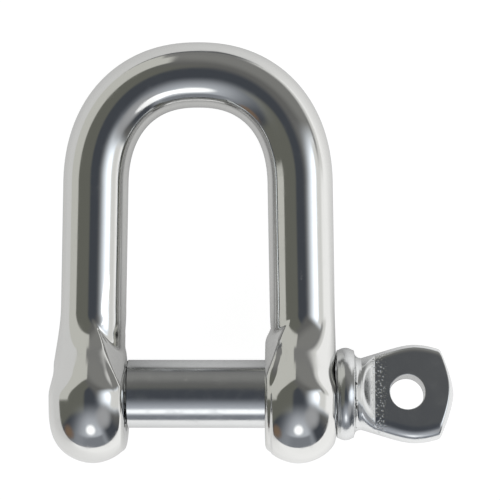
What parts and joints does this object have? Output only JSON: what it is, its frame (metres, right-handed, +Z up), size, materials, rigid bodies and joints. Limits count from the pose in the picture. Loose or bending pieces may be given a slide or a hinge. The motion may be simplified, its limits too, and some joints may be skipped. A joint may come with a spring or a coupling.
{
  "type": "dee shackle",
  "caption": "Polished steel dee shackle: a round-bar bow whose legs end in thick round ears, closed by a screw pin with a collar and a flattened eye, for joining chain, rope or wire.",
  "frame": {"origin": "bottom centre of the bounding box, on the table that the shackle lies on", "axes": "+Z up from the table, +Y from the pin towards the crown, +X along the pin axis towards its eye"},
  "size_m": [0.0591, 0.0616, 0.0204],
  "materials": {
    "bow_steel": "mirror-polished stainless steel",
    "pin_steel": "polished stainless steel"
  },
  "bodies": {
    "bow": {"bow": "bow_steel"},
    "pin": {"screw_pin": "pin_steel"}
  },
  "joints": [
    {"name": "pin_draw", "type": "slide", "parent": "bow", "child": "pin", "axis": [1, 0, 0], "range_m": [0, 0.032]}
  ]
}
